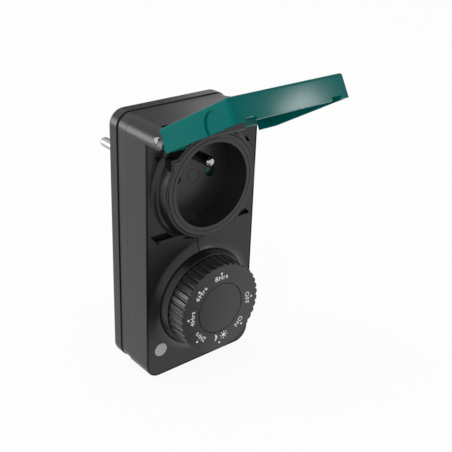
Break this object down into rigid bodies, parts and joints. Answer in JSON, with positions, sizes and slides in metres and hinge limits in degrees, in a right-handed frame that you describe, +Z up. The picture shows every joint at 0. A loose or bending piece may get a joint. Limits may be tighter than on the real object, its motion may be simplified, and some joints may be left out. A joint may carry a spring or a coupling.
{
  "type": "plug-in timer switch",
  "caption": "Outdoor plug-in mains timer with an earthed socket under a hinged splash lid, a programme knob, a light sensor and a wall plug on the back.",
  "frame": {"origin": "centre of the bottom face of the case, midway between its front and back faces", "axes": "+Z up the long side of the case, -Y out of the front (socket and knob), +Y out of the back (wall plug), +X to the right seen from the front"},
  "size_m": [0.0596, 0.1179, 0.1461],
  "materials": {
    "black_plastic": "finely textured black moulding",
    "frame_plastic": "finely textured black moulding",
    "socket_plastic": "smooth satin black moulding",
    "lid_plastic": "semi-gloss dark teal moulding",
    "knob_plastic": "satin dark grey moulding",
    "inner_plastic": "natural moulding",
    "shutter_plastic": "green moulding",
    "rubber": "soft black seal",
    "steel": "zinc-plated steel",
    "pin_nickel": "nickel-plated brass",
    "brass": "plain brass strip",
    "board": "green solder mask",
    "relay_case": "blue case",
    "capacitor_case": "yellow box case",
    "chip": "black package",
    "capacitor_can": "sleeved can",
    "varistor": "blue coated disc",
    "fuse_case": "brown case",
    "window": "smoky translucent moulding",
    "sensor_lens": "clear resin over the cell"
  },
  "bodies": {
    "case": {"front_shell": "black_plastic", "middle_frame": "frame_plastic", "front_case_seal": "rubber", "rear_case_seal": "rubber", "rear_shell": "black_plastic", "case_screws": "steel", "socket_insert": "socket_plastic", "earth_pin": "pin_nickel", "contact_block": "inner_plastic", "block_screws": "steel", "shutter_spring": "steel", "live_contact": "brass", "neutral_contact": "brass", "switched_live_strip": "brass", "neutral_strip": "brass", "plug_cap": "socket_plastic", "neutral_plug_pin": "pin_nickel", "live_plug_pin": "pin_nickel", "live_feed_strip": "brass", "plug_earth_tube": "pin_nickel", "earth_strap": "brass", "earth_nut": "steel", "plug_earth_clips": "pin_nickel", "hinge_pin": "pin_nickel", "knob_bezel": "black_plastic", "shaft_seal": "rubber", "switch_body": "inner_plastic", "detent_spring": "steel", "circuit_board": "board", "board_screws": "steel", "relay": "relay_case", "film_capacitor": "capacitor_case", "bridge_rectifier": "chip", "timer_chip": "chip", "smoothing_capacitor": "capacitor_can", "surge_varistor": "varistor", "fuse": "fuse_case", "sensor_window": "window", "light_sensor": "sensor_lens"},
    "lid": {"lid": "lid_plastic", "lid_seal": "rubber"},
    "knob": {"knob": "knob_plastic", "knob_cap": "knob_plastic", "switch_shaft": "inner_plastic", "switch_rotor": "inner_plastic"},
    "shutter": {"shutter": "shutter_plastic"}
  },
  "joints": [
    {"name": "lid_hinge", "type": "hinge", "parent": "case", "child": "lid", "pos_m": [0, -0.0201, 0.1178], "axis": [1, 0, 0], "range_deg": [0, 120.5]},
    {"name": "knob_turn", "type": "hinge", "parent": "case", "child": "knob", "pos_m": [0, -0.02, 0.035], "axis": [0, 1, 0], "range_deg": [0, 270]},
    {"name": "shutter_turn", "type": "hinge", "parent": "case", "child": "shutter", "pos_m": [0, -0.0033, 0.0918], "axis": [0, 1, 0], "range_deg": [0, 40], "stiffness_Nm_per_rad": 0.0005, "springref_deg": -17.19}
  ]
}
